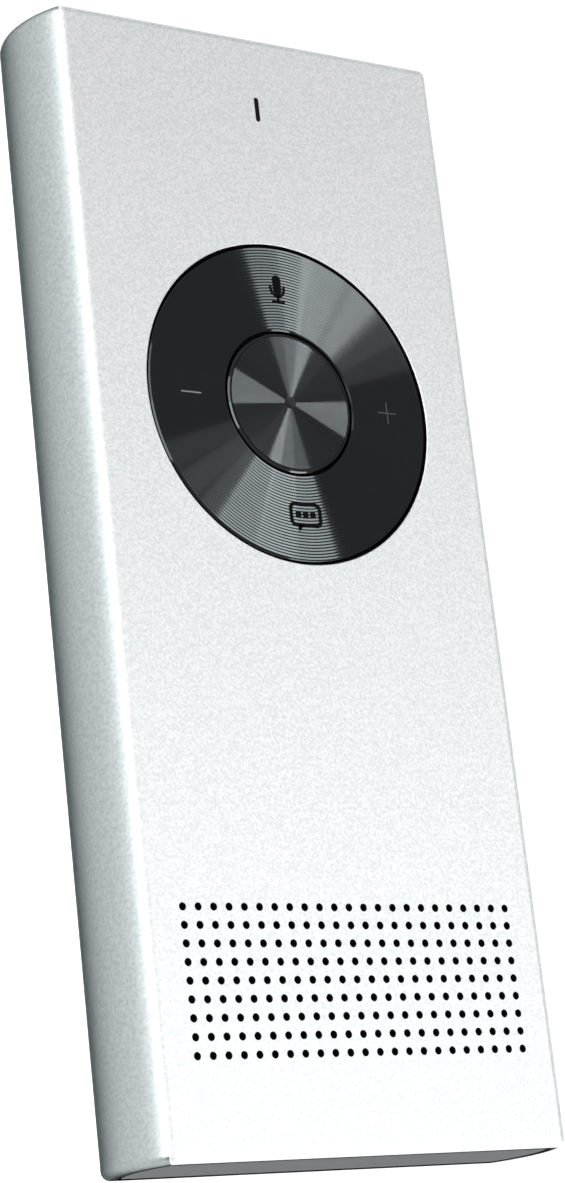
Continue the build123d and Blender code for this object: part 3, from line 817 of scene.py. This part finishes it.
def make_stage():
    deselect()
    bpy.ops.mesh.primitive_plane_add(size=floor_size, location=(0, 0, 0))
    floor = added("floor")
    clad(floor, floor_paint())

    world = bpy.data.worlds.new("studio")
    bpy.context.scene.world = world
    world.use_nodes = True
    sky = world.node_tree.nodes["Background"]
    sky.inputs["Color"].default_value = srgb("ffffff")
    sky.inputs["Strength"].default_value = sky_strength
    make_lamps()

    eye = bpy.data.cameras.new("camera")
    eye.sensor_fit = "AUTO"
    eye.sensor_width = 36
    eye.lens = 101.498
    eye.shift_y = -0.1425
    eye.clip_start = 0.01
    eye.clip_end = 20
    holder = bpy.data.objects.new("camera", eye)
    holder.location = camera_place
    holder.rotation_euler = [radians(angle) for angle in camera_turn]
    bpy.context.scene.collection.objects.link(holder)
    bpy.context.scene.camera = holder
    bpy.context.scene.view_settings.view_transform = "Standard"


# ------------------------------------------------ put together
def clad_nodes(stamped):
    """Finishes of the pieces whose CAD shape shows as it is."""
    finishes = [
        (plastic("moulded_grey_abs", "4a4c50", "505256", 0.5, 0.15 * MM, 0.006 * MM, gloss=0.15),
         ["bottom_end_cap", "top_end_cap"]),
        (plastic("glass_filled_nylon", "1b1c1e", "26272a", 0.55, 0.2 * MM, 0.008 * MM),
         ["dial_frame", "dial_carrier", "centre_plunger", "keypad_connector",
          "battery_connector", "usb_c_tongue"]),
        (plastic("black_polycarbonate", "141517", "1c1d20", 0.45, 0.25 * MM, 0.006 * MM),
         ["chassis_tray", "speaker_basket"]),
        (plastic("black_silicone", "101011", "18181a", 0.7, 0.3 * MM, 0.003 * MM),
         ["mic_boots"]),
        (plastic("white_package", "e4e2d8", "efede4", 0.35, 0.2 * MM, 0.002 * MM),
         ["indicator_led", "microphones"]),
        (plastic("epoxy_package", "17181a", "222326", 0.6, 0.12 * MM, 0.004 * MM),
         ["board_chips"]),
        (plastic("polymer_cone", "202124", "2c2d30", 0.5, 0.4 * MM, 0.01 * MM),
         ["speaker_diaphragm"]),
        (smoked_window(), ["indicator_lens"]),
        (solder_mask(), ["main_board", "keypad_board", "battery_board"]),
        (stamped, ["shield_cans", "board_screws", "frame_screws", "gimbal_ring",
                   "antenna_contact"]),
        (steel("nickel_plated_steel", 0.2, "c9c6bf", "dcd9d2", 0.3 * MM), ["usb_c_socket"]),
        (steel("plated_magnet", 0.25, "a8a9ab", "bcbdbf", 0.5 * MM), ["speaker_magnet"]),
        (foam(), ["speaker_gasket", "speaker_pad", "battery_pad"]),
        (pouch_foil(), ["battery"]),
        (polyimide("copper_film", "9a5a2c", "c98450"), ["antenna_film"]),
        (polyimide("polyimide_flex", "a5661c", "c07c2a"), ["battery_flex", "speaker_flex"]),
    ]
    for material, names in finishes:
        for name in names:
            clad(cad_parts[name], material)


make_stage()
stamped_steel = steel("stamped_steel", 0.3, "b5b6b8", "cfd0d1", 0.25 * MM)
clad_nodes(stamped_steel)
make_body(bead_blasted_aluminium(), satin_shaded_aluminium(), shade_painted_wall())
make_dial_ring(black_turned_aluminium("turned_black_aluminium", "414546", "464a4b"))
# The button's pit material is painted shade for its dimple and fine line.
make_button(black_turned_aluminium("faced_black_aluminium", "4f5354", "545859"),
            plastic("pit_painted_shade", "0a0b0c", "101112", 0.6, 0.2 * MM, 0.002 * MM))
black_ink = ink("black_ink", "020202", "080808", 0.8, 0.12)
make_microphone_sign(black_ink)
make_speech_sign(black_ink)
# Lit and shaded copies of one printed mark: a painted highlight on the minus, painted shade on the
# plus.
make_volume_signs(ink("mark_painted_highlight", "7e8284", "84888a", 0.4, 0.5),
                  ink("mark_painted_shade", "3c4448", "424a4e", 0.6, 0.3))
make_cloth(woven_cloth())
for name, node, joint in (("tilt_domes_up_down", "domes_up_down", "dial_tilt_up_down"),
                          ("tilt_domes_left_right", "domes_left_right", "dial_tilt_left_right"),
                          ("button_dome", "centre_dome", "centre_press")):
    make_snap_domes(name, node, stamped_steel)
deselect()
